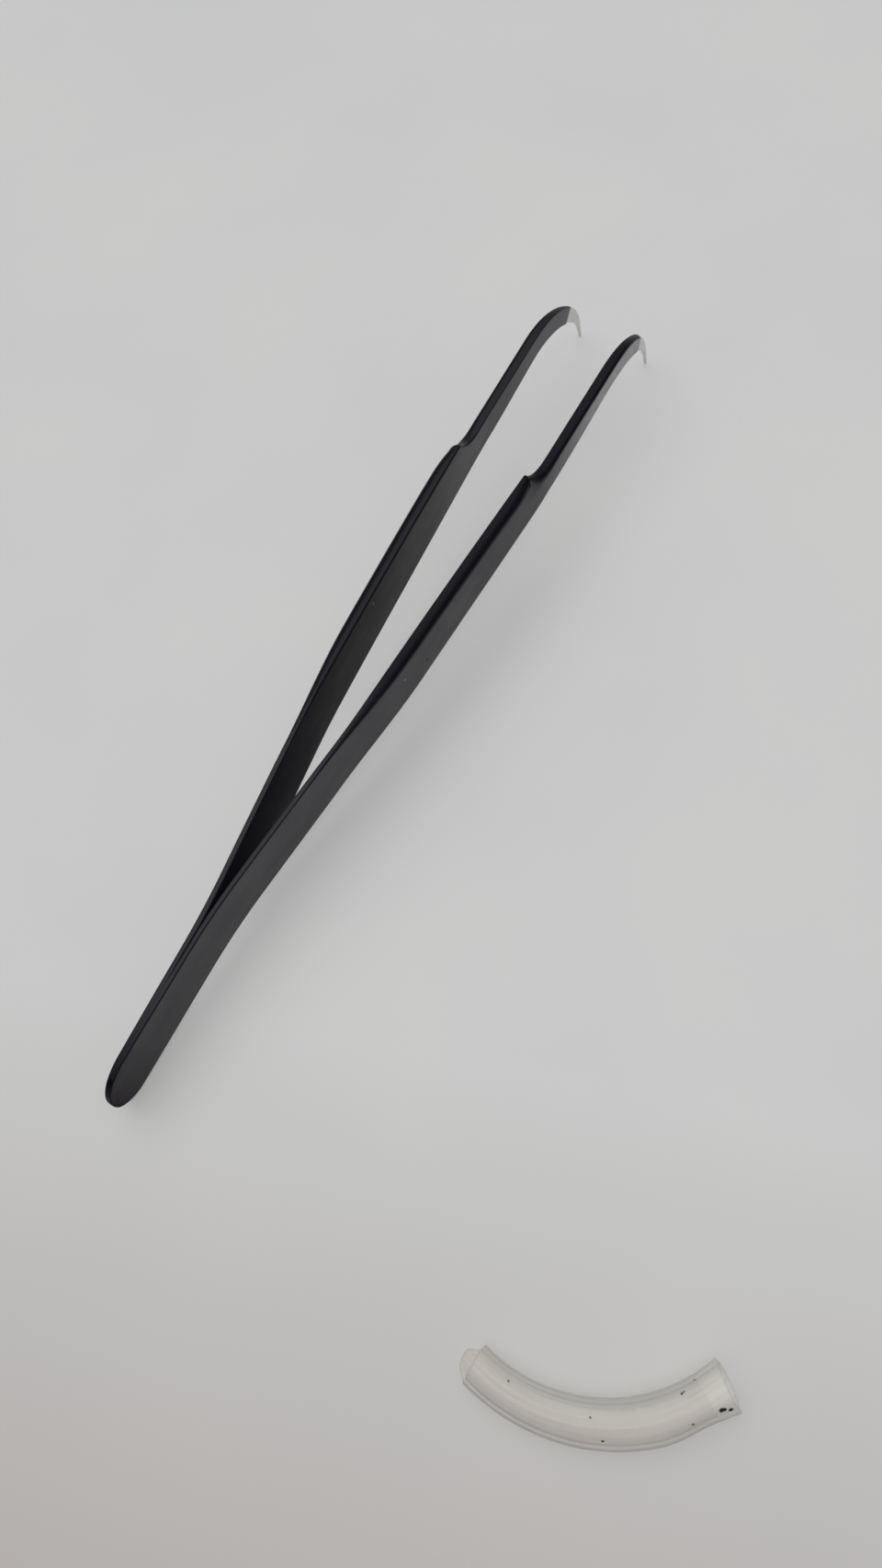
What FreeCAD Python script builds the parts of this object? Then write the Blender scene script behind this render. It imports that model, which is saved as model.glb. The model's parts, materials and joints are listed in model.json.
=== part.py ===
import FreeCAD, Part
import Sketcher
import math
import os
import re

# Precision tweezers: two spring-steel strips welded at the tail, coated black except at the
# fine curved tips, with a soft tube that guards the tips in storage.
#
# The design frame has +X from the tail end to the tips, +Y to the left strip and Z across the
# strips' width, and is symmetric about the plane Y = 0.  The finished pieces are then tilted
# so that the tail and both tips stand on the plane Z = 0, and moved so that the origin is in
# the middle of the whole set's box.

doc = FreeCAD.newDocument("precision_tweezers")
sheet = doc.addObject("Spreadsheet::Sheet", "Sheet")

# Lengths in millimetres, angles in degrees, all in the design frame.
DIMENSIONS = [
    # the strips seen from above: inner face of the left strip, and thickness outside it
    ("overall_length", "120", "tail end to the outside of the tip bend"),
    ("weld_end", "19", "end of the stretch where the two strips lie together"),
    ("opening_radius", "110", "bend by which a strip leaves its partner"),
    ("splay_angle", "5.9", "slope of the thin spring stretch"),
    ("spring_end", "49.5", "end of the straight spring stretch"),
    ("closing_radius", "80", "bend that turns the strip back towards its partner"),
    ("grip_angle", "2.75", "slope of the thick grip"),
    ("neck_start", "94", "start of the neck, past the shoulder"),
    ("neck_angle", "0.4", "slope of the neck and the tip"),
    ("tail_thickness", "0.34", "strip at the tail end"),
    ("spring_thickness", "0.56", "strip in the spring stretch"),
    ("grip_start", "60", "where the grip reaches its thickness"),
    ("grip_thickness", "1.42", "strip at the start of the grip"),
    ("shoulder_thickness", "1.58", "strip at the shoulder"),
    ("neck_thickness", "1.28", "strip along the neck"),
    ("tip_thickness", "0.28", "strip at the very tip"),
    ("tip_flank_radius", "72", "bend of the outer face that thins the tip"),
    ("coat_thickness", "0.08", "black coating on the steel"),
    # the strips seen from the side
    ("tail_top_radius", "6.5", "upper rounding of the tail end"),
    ("tail_bottom_radius", "3.1", "lower rounding of the tail end"),
    ("nose_depth", "2.05", "depth of the very end of the tail, where the two roundings meet"),
    ("waist_x", "18", "end of the stretch where the tail widens below"),
    ("waist_depth", "4.5", "depth of the bottom edge there"),
    ("top_edge_radius", "654", "shallow crown of the top edge"),
    ("bottom_edge_x", "60", "where the bottom edge starts to fall towards the neck"),
    ("bottom_edge_depth", "4.45", "depth of the bottom edge there"),
    ("shoulder_x", "90", "shoulder, where the top edge steps down"),
    ("shoulder_height", "1.9", "height of the top edge at the shoulder"),
    ("shoulder_fillet", "4.2", "hollow that ends the step"),
    ("neck_top_depth", "1.15", "depth of the top edge after the step"),
    ("neck_bottom_x", "97", "lowest place of the bottom edge"),
    ("neck_bottom_depth", "5.35", "depth of the bottom edge there"),
    ("bend_x", "108", "start of the downward bend of the tip"),
    ("bend_top_depth", "1.8", "depth of the top edge at that start"),
    ("bend_bottom_depth", "4.75", "depth of the bottom edge at that start"),
    ("bend_outer_radius", "11.3", "outside of the bend"),
    ("bend_inner_radius", "12", "inside of the bend, which closes in on the outside"),
    ("point_depth", "12.4", "where the bend ends in the straight point"),
    ("point_width", "0.55", "width of the strip there"),
    ("point_lean", "0.6", "how far the point leans away from the tail"),
    ("tip_depth", "15.9", "depth of the very tip"),
    ("tip_width", "0.26", "width of the strip at the very tip"),
    ("bare_angle", "32", "the steel is bare beyond this angle of the tip bend"),
    # how a strip flexes, as a hinge in the middle of its spring stretch
    ("pivot_x", "41", "place of that hinge"),
    ("margin_length", "2", "how far the outlines from above run past the ends of the strips"),
    ("slab_length", "60", "length of the slabs whose common part is a strip"),
    ("pivot_clearance", "0.05", "gap between the coating of an arm and its socket"),
    # welds between the strips
    ("weld_x", "6.5", "first spot weld"),
    ("weld_pitch", "6", "distance between the spot welds"),
    ("weld_radius", "1.4", "radius of a spot weld"),
    ("weld_height", "0.24", "height of a spot weld, half of it in each strip"),
    # tip guard, lying on the table beside the tweezers
    ("guard_radius", "2.5", "outside radius of the tube"),
    ("guard_wall", "0.5", "wall of the tube"),
    ("guard_bend", "21.2", "bend radius of the tube's centre line"),
    ("guard_turn", "80.5", "angle through which the tube bends"),
    ("guard_x", "19.7", "centre of the tube's bend"),
    ("guard_y", "-54", "centre of the tube's bend"),
    ("guard_heading", "168.5", "direction from that centre to the tube's near end"),
    # worked out from the values above
    ("opening_x", "=weld_end + opening_radius * sin(splay_angle * 1 deg)", ""),
    ("opening_y", "=opening_radius * (1 - cos(splay_angle * 1 deg))", ""),
    ("splay_slope", "=tan(splay_angle * 1 deg)", ""),
    ("splay_sine", "=sin(splay_angle * 1 deg)", ""),
    ("splay_cosine", "=cos(splay_angle * 1 deg)", ""),
    ("spring_y", "=opening_y + (spring_end - opening_x) * splay_slope", ""),
    ("closing_x", "=spring_end + closing_radius * (sin(splay_angle * 1 deg) - sin(grip_angle * 1 deg))", ""),
    ("closing_y", "=spring_y + closing_radius * (cos(grip_angle * 1 deg) - cos(splay_angle * 1 deg))", ""),
    ("grip_slope", "=tan(grip_angle * 1 deg)", ""),
    ("neck_y", "=closing_y + (neck_start - closing_x) * grip_slope", ""),
    ("neck_slope", "=tan(neck_angle * 1 deg)", ""),
    ("pivot_y", "=opening_y + (pivot_x - opening_x) * splay_slope + spring_thickness / 2 / splay_cosine", ""),
    ("grip_y", "=closing_y + (grip_start - closing_x) * grip_slope", ""),
    ("shoulder_y", "=closing_y + (shoulder_x - closing_x) * grip_slope", ""),
    ("bend_y", "=neck_y + (bend_x - neck_start) * neck_slope", ""),
    ("tip_y", "=neck_y + (overall_length - neck_start) * neck_slope", ""),
    # the tweezers stand on the lower rounding of the tail and on the tips: tilt and lift for that
    ("rest_reach", "=overall_length - tip_width - tail_bottom_radius", "tips from its centre, along X"),
    ("rest_drop", "=tip_depth - nose_depth", "tips from its centre, along Z"),
    ("rest_tilt", "=(atan(rest_drop / rest_reach) - asin((tail_bottom_radius + coat_thickness)"
     " / sqrt(rest_reach^2 + rest_drop^2))) / 1 deg", ""),
    ("rest_height", "=tip_depth * cos(rest_tilt * 1 deg)"
     " - (overall_length - tip_width) * sin(rest_tilt * 1 deg)", ""),
    # middle of the box around the standing tweezers and the guard
    ("box_front", "=overall_length * cos(rest_tilt * 1 deg) + tip_depth * sin(rest_tilt * 1 deg)", ""),
    ("box_back", "=guard_x - guard_bend - guard_radius", ""),
    ("box_left", "=shoulder_y + shoulder_thickness + coat_thickness", ""),
    ("box_right", "=guard_y + (guard_bend + guard_radius) * sin((guard_heading + guard_turn) * 1 deg)", ""),
    ("middle_x", "=(box_front + box_back) / 2", ""),
    ("middle_y", "=(box_left + box_right) / 2", ""),
]
for row, (alias, value, note) in enumerate(DIMENSIONS, start=1):
    sheet.set(f"A{row}", alias)
    sheet.set(f"B{row}", value)
    sheet.set(f"C{row}", note)
    sheet.setAlias(f"B{row}", alias)
doc.recompute()


def bound(expression):
    """The expression with each of its dimension names written as a cell of the sheet."""
    return re.sub(r"\b([a-z]+(?:_[a-z]+)+)\b", r"Sheet.\1", expression)


def value_of(expression):
    """The number that an expression of dimension names gives."""
    return float(sheet.evalExpression(bound(expression)))


def bind(thing, **properties):
    """Bind properties of an object to expressions; a double underscore stands for a dot."""
    for name, expression in properties.items():
        thing.setExpression(name.replace("__", "."), bound(expression))


def origin_plane(body, role):
    return next(plane for plane in body.Origin.OriginFeatures if plane.Role == role)


def arc_edge(start, end, radius):
    """The short arc between two points; it turns left for a positive radius."""
    chord = end - start
    height = abs(radius) - math.sqrt(max(0, radius**2 - (chord.Length / 2) ** 2))
    right = FreeCAD.Vector(chord.y, -chord.x, 0).normalize()
    return Part.Arc(start, (start + end) / 2 + right * math.copysign(height, radius), end)


def draw_outline(sketch, corners):
    """A closed outline of lines and arcs whose corners and radii are bound to the sheet.

    Each corner is (x, y) or (x, y, radius), where the radius is that of the arc to the next one.
    """
    points = [FreeCAD.Vector(value_of(c[0]), value_of(c[1]), 0) for c in corners]
    first = sketch.GeometryCount

    def fix(index, corner, axis):
        """Hold one coordinate of a corner at its expression."""
        expression = corners[corner]["XY".index(axis)]
        end = end_at(index, points[corner])
        place = Sketcher.Constraint(f"Distance{axis}", -1, 1, index, end, value_of(expression))
        number = sketch.addConstraint(place)
        sketch.setExpression(f"Constraints[{number}]", bound(expression))

    def end_at(index, point):
        """Which end of an edge lies on a point: 1 for its start, 2 for its end."""
        return min((1, 2), key=lambda end: (sketch.getPoint(index, end) - point).Length)

    for corner, place in enumerate(corners):
        index = first + corner
        start, end = points[corner], points[(corner + 1) % len(points)]
        if len(place) == 2:
            sketch.addGeometry(Part.LineSegment(start, end))
        else:
            radius = value_of(place[2])
            sketch.addGeometry(arc_edge(start, end, radius))
            number = sketch.addConstraint(Sketcher.Constraint("Radius", index, abs(radius)))
            sketch.setExpression(f"Constraints[{number}]", bound(f"abs({place[2]})"))
        fix(index, corner, "X")
        fix(index, corner, "Y")
    for corner in range(len(corners)):
        before = first + (corner - 1) % len(corners)
        index = first + corner
        joint = (before, end_at(before, points[corner]), index, end_at(index, points[corner]))
        sketch.addConstraint(Sketcher.Constraint("Coincident", *joint))


# ---- outlines --------------------------------------------------------------------------

def side_outline(skin):
    """The whole tweezers from the side, grown all round by a skin."""
    return [
        (f"-{skin}", "-nose_depth", f"tail_bottom_radius + {skin}"),
        ("tail_bottom_radius", f"-nose_depth - tail_bottom_radius - {skin}"),
        ("waist_x", f"-waist_depth - {skin}"),
        ("bottom_edge_x", f"-bottom_edge_depth - {skin}"),
        ("neck_bottom_x", f"-neck_bottom_depth - {skin}"),
        ("bend_x", f"-bend_bottom_depth - {skin}", f"-bend_inner_radius + {skin}"),
        (f"overall_length - point_lean - point_width - {skin}", "-point_depth"),
        (f"overall_length - tip_width - {skin}", "-tip_depth"),
        (f"overall_length + {skin}", "-tip_depth"),
        (f"overall_length - point_lean + {skin}", "-point_depth", f"bend_outer_radius + {skin}"),
        ("bend_x", f"-bend_top_depth + {skin}"),
        (f"neck_start + {skin}", f"-neck_top_depth + {skin}", f"-shoulder_fillet + {skin}"),
        (f"shoulder_x + {skin}", f"shoulder_height + {skin}", f"top_edge_radius + {skin}"),
        ("tail_top_radius", f"tail_top_radius - nose_depth + {skin}", f"tail_top_radius + {skin}"),
    ]


def root_corners(skin):
    """Where the faces of the left strip, grown by a skin, pass its flexing hinge."""
    half = f"(spring_thickness / 2 + {skin})"
    inner = (f"pivot_x + {half} * splay_sine", f"pivot_y - {half} * splay_cosine")
    outer = (f"pivot_x - {half} * splay_sine", f"pivot_y + {half} * splay_cosine")
    return inner, outer


def tail_outline(skin):
    """The left strip from above, from past the tail end to its flexing hinge."""
    inner, outer = root_corners(skin)
    depth = f"(spring_thickness + {skin})"
    return [
        ("-margin_length", f"-{skin}"),
        ("weld_end", f"-{skin}", f"opening_radius + {skin}"),
        (f"opening_x + {skin} * splay_sine", f"opening_y - {skin} * splay_cosine"),
        inner,
        outer,
        (
            f"opening_x - {depth} * splay_sine",
            f"opening_y + {depth} * splay_cosine",
            f"-opening_radius + {depth}",
        ),
        ("weld_end", depth),
        ("-margin_length", f"tail_thickness + {skin}"),
    ]


def arm_outline(skin):
    """The left strip from above, from its flexing hinge to past the tip."""
    inner, outer = root_corners(skin)
    return [
        inner,
        ("spring_end", f"spring_y - {skin}", f"-closing_radius + {skin}"),
        ("closing_x", f"closing_y - {skin}"),
        ("neck_start", f"neck_y - {skin}"),
        ("overall_length + margin_length", f"tip_y - {skin}"),
        ("overall_length + margin_length", f"tip_y + tip_thickness + {skin}"),
        ("overall_length", f"tip_y + tip_thickness + {skin}", f"tip_flank_radius + {skin}"),
        ("bend_x", f"bend_y + neck_thickness + {skin}"),
        ("neck_start", f"neck_y + neck_thickness + {skin}"),
        ("shoulder_x", f"shoulder_y + shoulder_thickness + {skin}"),
        ("grip_start", f"grip_y + grip_thickness + {skin}"),
        ("spring_end", f"spring_y + spring_thickness + {skin}"),
        outer,
    ]


# ---- building blocks -------------------------------------------------------------------

def slab(name, plane, corners):
    """A body that is a flat outline padded equally to both sides of an origin plane."""
    body = doc.addObject("PartDesign::Body", name)
    sketch = body.newObject("Sketcher::SketchObject", name + "_sketch")
    sketch.AttachmentSupport = [(origin_plane(body, plane), "")]
    sketch.MapMode = "FlatFace"
    draw_outline(sketch, corners)
    pad = body.newObject("PartDesign::Pad", name + "_pad")
    pad.Profile = sketch
    pad.Midplane = True
    bind(pad, Length="slab_length")
    return body


def boolean(kind, name, base, tool):
    """A Part::Cut or Part::Common of two objects."""
    result = doc.addObject("Part::" + kind, name)
    result.Base = base
    result.Tool = tool
    return result


def fused(name, *parts):
    result = doc.addObject("Part::MultiFuse", name)
    result.Shapes = list(parts)
    return result


def mirrored(name, source):
    """The right-hand twin of a piece."""
    result = doc.addObject("Part::Mirroring", name)
    result.Source = source
    result.Normal = (0, 1, 0)
    return result


def upright_cylinder(name, radius, x, y):
    """A cylinder through the whole width of the strips."""
    pin = doc.addObject("Part::Cylinder", name)
    bind(pin, Radius=radius, Height="slab_length", Placement__Base__x=x, Placement__Base__y=y,
         Placement__Base__z="-slab_length / 2")
    return pin


def tail_stock(name, skin, side):
    """The left strip, grown by a skin, from the tail end to its flexing hinge."""
    return boolean("Common", name, slab(name + "_plan", "XY_Plane", tail_outline(skin)), side)


def arm_stock(name, skin, side):
    """The left strip, grown by a skin, from its flexing hinge to the tip, with a round root."""
    root = upright_cylinder(name + "_root", f"spring_thickness / 2 + {skin}", "pivot_x", "pivot_y")
    plan = fused(name + "_outline", slab(name + "_plan", "XY_Plane", arm_outline(skin)), root)
    return boolean("Common", name, plan, side)


# ---- steel strips ----------------------------------------------------------------------

BARE, COATED = "0", "coat_thickness"
bare_side = slab("bare_side", "XZ_Plane", side_outline(BARE))

welds = []
for index in range(2):
    weld = doc.addObject("Part::Cylinder", f"weld_{index + 1}")
    weld.Placement.Rotation = FreeCAD.Rotation(FreeCAD.Vector(1, 0, 0), -90)
    bind(weld, Radius="weld_radius", Height="weld_height",
         Placement__Base__x=f"weld_x + {index} * weld_pitch", Placement__Base__y="-weld_height / 2")
    welds.append(weld)
weld_spots = fused("weld_stock", *welds)

socket_radius = "spring_thickness / 2 + coat_thickness + pivot_clearance"
left_socket = upright_cylinder("left_socket", socket_radius, "pivot_x", "pivot_y")
right_socket = upright_cylinder("right_socket", socket_radius, "pivot_x", "-pivot_y")
hollows = fused("hollows", weld_spots, left_socket)
left_tail = boolean("Cut", "left_tail_stock", tail_stock("bare_tail", BARE, bare_side), hollows)
right_tail = mirrored("right_tail_stock", left_tail)
left_arm = arm_stock("left_arm_stock", BARE, bare_side)
right_arm = mirrored("right_arm_stock", left_arm)

# ---- black coating ---------------------------------------------------------------------

coated_side = slab("coated_side", "XZ_Plane", side_outline(COATED))
half_coat = tail_stock("half_coat", COATED, coated_side)
both_halves = fused("both_halves", half_coat, mirrored("other_half_coat", half_coat))
tail_inside = fused("tail_inside", left_tail, right_tail, weld_spots, left_socket, right_socket)
tail_coat = boolean("Cut", "tail_coat_stock", both_halves, tail_inside)

coated_arm = arm_stock("coated_arm", COATED, coated_side)
bare_stretch = doc.addObject("Part::Box", "bare_stretch")
bare_stretch.Placement.Rotation = FreeCAD.Rotation(FreeCAD.Vector(0, 1, 0), 45)
bind(bare_stretch, Length="tip_depth", Width="tip_depth", Height="tip_depth", Placement__Base__x="bend_x",
     Placement__Base__z="-point_depth", Placement__Rotation__Angle="90 - bare_angle")
left_arm_coat = boolean("Cut", "left_coat_stock", coated_arm, fused("arm_inside", left_arm, bare_stretch))
right_arm_coat = mirrored("right_coat_stock", left_arm_coat)

# ---- tip guard -------------------------------------------------------------------------

guard = doc.addObject("PartDesign::Body", "tip_guard")
path = guard.newObject("Sketcher::SketchObject", "guard_path")
path.AttachmentSupport = [(origin_plane(guard, "XY_Plane"), "")]
path.MapMode = "FlatFace"
ring = guard.newObject("Sketcher::SketchObject", "guard_ring")
ring.AttachmentSupport = [(origin_plane(guard, "XZ_Plane"), "")]
ring.MapMode = "FlatFace"
bend = value_of("guard_bend")
turn = math.radians(value_of("guard_turn"))
circle = Part.Circle(FreeCAD.Vector(0, 0, 0), FreeCAD.Vector(0, 0, 1), bend)
path.addGeometry(Part.ArcOfCircle(circle, 0, turn))
path.addConstraint(Sketcher.Constraint("Coincident", 0, 3, -1, 1))
path.addConstraint(Sketcher.Constraint("PointOnObject", 0, 1, -1))
radius = path.addConstraint(Sketcher.Constraint("Radius", 0, bend))
path.setExpression(f"Constraints[{radius}]", bound("guard_bend"))
end_x = path.addConstraint(Sketcher.Constraint("DistanceX", -1, 1, 0, 2, bend * math.cos(turn)))
path.setExpression(f"Constraints[{end_x}]", bound("guard_bend * cos(guard_turn * 1 deg)"))
for number, size in enumerate(("guard_radius", "guard_radius - guard_wall")):
    centre = FreeCAD.Vector(bend, 0, 0)
    ring.addGeometry(Part.Circle(centre, FreeCAD.Vector(0, 0, 1), value_of(size)))
    radius = ring.addConstraint(Sketcher.Constraint("Radius", number, value_of(size)))
    ring.setExpression(f"Constraints[{radius}]", bound(size))
    place = ring.addConstraint(Sketcher.Constraint("DistanceX", -1, 1, number, 3, bend))
    ring.setExpression(f"Constraints[{place}]", bound("guard_bend"))
    ring.addConstraint(Sketcher.Constraint("PointOnObject", number, 3, -1))
pipe = guard.newObject("PartDesign::AdditivePipe", "guard_tube")
pipe.Profile = ring
pipe.Spine = path
bind(guard, Placement__Base__x="guard_x - middle_x", Placement__Base__y="guard_y - middle_y",
     Placement__Base__z="guard_radius", Placement__Rotation__Angle="guard_heading")

# ---- placement, checks and files -------------------------------------------------------

def standing(name, source):
    """The finished piece, tilted and lifted so that the tweezers stand on tail and tips."""
    piece = doc.addObject("Part::Refine", name)
    piece.Source = source
    piece.Placement.Rotation = FreeCAD.Rotation(FreeCAD.Vector(0, -1, 0), 5)
    bind(piece, Placement__Rotation__Angle="rest_tilt", Placement__Base__x="-middle_x",
         Placement__Base__y="-middle_y", Placement__Base__z="rest_height")
    return piece


pieces = [
    standing("left_tail", left_tail),
    standing("right_tail", right_tail),
    standing("tail_welds", weld_spots),
    standing("tail_coating", tail_coat),
    standing("left_arm", left_arm),
    standing("left_coating", left_arm_coat),
    standing("right_arm", right_arm),
    standing("right_coating", right_arm_coat),
    guard,
]
doc.recompute()

for thing in doc.Objects:
    if {"Invalid", "Error"} & set(thing.State):
        raise RuntimeError(f"{thing.Label} failed to compute: {thing.State}")
for piece in pieces:
    if piece.Shape.isNull() or not piece.Shape.isValid() or not piece.Shape.Solids:
        raise RuntimeError(f"{piece.Label} has no valid solid")

os.makedirs("parts", exist_ok=True)
for piece in pieces:
    piece.Shape.exportStep(os.path.join("parts", piece.Label + ".step"))
    box = piece.Shape.optimalBoundingBox()
    print(f"{piece.Label}: {piece.Shape.Volume:.2f} mm3, X {box.XMin:.2f} to {box.XMax:.2f},"
          f" Y {box.YMin:.2f} to {box.YMax:.2f}, Z {box.ZMin:.2f} to {box.ZMax:.2f}")
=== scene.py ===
import json
import math
from types import SimpleNamespace

import bmesh
import bpy
from mathutils import Matrix, Vector, noise


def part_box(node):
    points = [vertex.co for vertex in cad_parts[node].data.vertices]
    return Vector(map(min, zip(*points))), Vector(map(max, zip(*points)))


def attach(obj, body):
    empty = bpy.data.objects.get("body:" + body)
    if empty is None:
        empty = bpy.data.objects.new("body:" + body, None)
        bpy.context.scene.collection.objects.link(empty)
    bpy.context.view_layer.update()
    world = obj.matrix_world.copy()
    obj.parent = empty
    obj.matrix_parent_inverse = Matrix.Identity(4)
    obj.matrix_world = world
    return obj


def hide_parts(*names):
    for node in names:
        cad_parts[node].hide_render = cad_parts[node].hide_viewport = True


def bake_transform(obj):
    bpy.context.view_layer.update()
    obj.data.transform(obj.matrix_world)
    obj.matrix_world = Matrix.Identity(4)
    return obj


# Looks of the precision tweezers and their tip guard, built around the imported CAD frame.
#
# Shapes are worked out in the tweezers' own frame, in millimetres: +X from the tail end to the
# tips, +Y from the middle plane to the left strip and +Z across the strips' width.  placed()
# turns such a point into a place in the row frame, in metres, as the frame's hinges say.

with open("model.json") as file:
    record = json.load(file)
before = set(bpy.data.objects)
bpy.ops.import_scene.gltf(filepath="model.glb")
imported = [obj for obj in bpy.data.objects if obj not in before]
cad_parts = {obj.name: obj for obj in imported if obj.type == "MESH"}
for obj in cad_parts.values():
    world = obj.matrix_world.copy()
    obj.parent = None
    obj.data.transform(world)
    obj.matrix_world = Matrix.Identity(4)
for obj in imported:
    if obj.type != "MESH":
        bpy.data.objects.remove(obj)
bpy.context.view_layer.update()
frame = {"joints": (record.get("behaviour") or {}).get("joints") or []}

MM = 0.001

JOINTS = {joint["name"]: joint for joint in frame["joints"]}
LEFT_HINGE = Vector(JOINTS["left_squeeze"]["pos_m"])
RIGHT_HINGE = Vector(JOINTS["right_squeeze"]["pos_m"])
ACROSS = Vector((0, 1, 0))
UP = Vector(JOINTS["right_squeeze"]["axis"]).normalized()
ALONG = ACROSS.cross(UP)
HINGE_X = 41.0  # where the hinges lie along the tweezers, in millimetres


def placed(x, y, z):
    """Place in the row frame, in metres, of a point in the tweezers' own frame."""
    middle = (LEFT_HINGE + RIGHT_HINGE) / 2
    return middle + MM * ((x - HINGE_X) * ALONG + y * ACROSS + z * UP)


# ---- dimensions of a strip, in millimetres and degrees ----------------------------------

LENGTH = 120.0
COAT = 0.08

# tail end, seen from the side: two roundings that meet at the nose
NOSE_Z = -2.05
TAIL_TOP_RADIUS = 6.5
TAIL_BOTTOM_RADIUS = 3.1

# top edge: a crown up to the shoulder, then a hollow down to the neck
CROWN_RADIUS = 654.0
SHOULDER = (90.0, 1.9)
SHOULDER_HOLLOW = 4.2
SHOULDER_SOFTNESS = 0.28
NECK_TOP = (94.0, -1.15)

# the downward bend, and the straight point beyond it
BEND_X = 108.0
BEND_TOP = (BEND_X, -1.8)
BEND_BOTTOM = (BEND_X, -4.75)
POINT_TOP = (119.55, -12.2)
POINT_BOTTOM = (118.8, -12.4)
TIP_TOP = (119.5, -15.7)
TIP_BOTTOM = (119.25, -15.7)
BEND_OUTER_RADIUS = 11.2
BEND_INNER_RADIUS = 12.0
BARE_ANGLE = 35.0  # the coating ends this much before the bend turns straight down

# bottom edge, up to the bend: (place, height, reach of the soft corner there)
BOTTOM = [
    (TAIL_BOTTOM_RADIUS, NOSE_Z - TAIL_BOTTOM_RADIUS, 0),
    (18, -4.5, 5),
    (60, -4.45, 6),
    (97, -5.35, 5),
    (*BEND_BOTTOM, 0),
]

# seen from above: slopes of the inner face, and the places where they change
SPLAY, GRIP_SLOPE, NECK_SLOPE = (math.tan(math.radians(angle)) for angle in (5.9, 2.75, 0.4))
SPLAY_X, GRIP_X, NECK_X = 24.65, 51.7, 94.0
GRIP_Y = (GRIP_X - SPLAY_X) * SPLAY
NECK_Y = GRIP_Y + (NECK_X - GRIP_X) * GRIP_SLOPE
END_X = 130.0
INNER = [
    (0, 0, 0),
    (SPLAY_X, 0, 5.65),
    (GRIP_X, GRIP_Y, 3),
    (NECK_X, NECK_Y, 2),
    (END_X, NECK_Y + (END_X - NECK_X) * NECK_SLOPE, 0),
]
THICKNESS = [
    (0, 0.34, 0),
    (19, 0.56, 3),
    (50, 0.56, 3.5),
    (60, 1.42, 3.5),
    (89.5, 1.56, 2),
    (94.5, 1.28, 2),
    (BEND_X, 1.28, 0),
    (END_X, 1.28, 0),
]
TIP_THICKNESS = 0.28

# rounding of the outer long edges, as (place, size, reach): across the narrow face ...
OUTER_ROUNDING = [
    (0, 0.18, 0),
    (46, 0.18, 4),
    (60, 1.05, 5),
    (85, 1.1, 2),
    (89.6, 1.3, 1),
    (95, 0.6, 3),
    (END_X, 0.6, 0),
]
# ... and down the outer face, where the bottom edge takes LOWEST_DROP at most
OUTER_DROP = [
    (0, 0.14, 0),
    (46, 0.14, 4),
    (60, 0.74, 5),
    (84, 0.78, 3.5),
    (89.4, 1.2, 1),
    (94, 0.55, 2),
    (END_X, 0.42, 0),
]
LOWEST_DROP = 0.8
# rounding of the inner long edges, the same both ways
INNER_ROUNDING = [
    (0, 0.015, 0),
    (16, 0.015, 1),
    (19, 0.12, 2),
    (34, 0.24, 5),
    (90, 0.24, 2),
    (96, 0.12, 3),
    (END_X, 0.12, 0),
]

# no rounding takes more than these shares of the strip's thickness or width
OUTER_SHARE, INNER_SHARE, WIDTH_SHARE = 0.8, 0.2, 0.4

# the outer face leans in at the top of the shoulder's end, by this much
LEAN_START, LEAN_END = 84.5, 90.3
LEAN_LOW, LEAN_HIGH = -1.2, 1.9
LEAN_DEPTH = 0.75

# sections along the strip: (place, pitch from there on), up to the bend
SECTIONS = [(TAIL_BOTTOM_RADIUS, 0.3), (8, 0.8), (88.6, 0.12), (94.6, 0.5), (BEND_X, 0)]
# pitch around the nose, in degrees, and along the bend and the point, as a share of each
NOSE_STEP = 5
BEND_PITCH = 0.025
POINT_PITCH = 0.1
# from this many sections before the bend on, the edges are eased this many times
EASED_SECTIONS = 8
EASING_PASSES = 14

# the steel's point closes in: (how far past the last section, share of its size kept)
POINT_CLOSING = ((0.05, 0.8), (0.09, 0.45))

# the coating's end: how far it stands off the steel, and how raggedly it ends
COAT_FEATHER = (COAT * 0.6, COAT * 0.15, -0.03)
RAGGED_SECTIONS = 6
RAGGED_REACH = 0.16
RAGGED_GRAIN = 1.5
RAGGED_SEED = 7


# ---- profiles --------------------------------------------------------------------------

def ramp(distance, reach):
    """Nothing before a bend and the distance past it, with a soft turn of this reach."""
    if distance <= -reach:
        return 0.0
    if distance >= reach:
        return distance
    return (distance + reach) ** 2 / (4 * reach)


def soft_line(x, knots):
    """Height at x of the line through (place, height, reach) knots, each corner softened."""
    (x0, z0, _), (x1, z1, _) = knots[:2]
    slope = (z1 - z0) / (x1 - x0)
    height = z0 + slope * (x - x0)
    for (xa, za, reach), (xb, zb, _) in zip(knots[1:], knots[2:]):
        turn = (zb - za) / (xb - xa) - slope
        height += turn * ramp(x - xa, reach)
        slope += turn
    return height


def soft_min(a, b, softness):
    """The smaller of two heights, with a soft change between them."""
    share = max(0, softness - abs(a - b)) / softness
    return min(a, b) - share * share * softness / 4


def arc_centre(start, end, radius):
    """Centre of the short arc between two points; it turns left for a positive radius."""
    middle = (Vector(start) + Vector(end)) / 2
    half = (Vector(end) - Vector(start)) / 2
    left = Vector((-half.y, half.x)).normalized()
    return middle + left * math.copysign(math.sqrt(radius**2 - half.length_squared), radius)


def arc_point(start, end, radius, share):
    """A point on that arc, this share of the way along it."""
    centre = arc_centre(start, end, radius)
    first, last = Vector(start) - centre, Vector(end) - centre
    angle = math.atan2(first.x * last.y - first.y * last.x, first.dot(last))
    return centre + Matrix.Rotation(angle * share, 2) @ first


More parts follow.
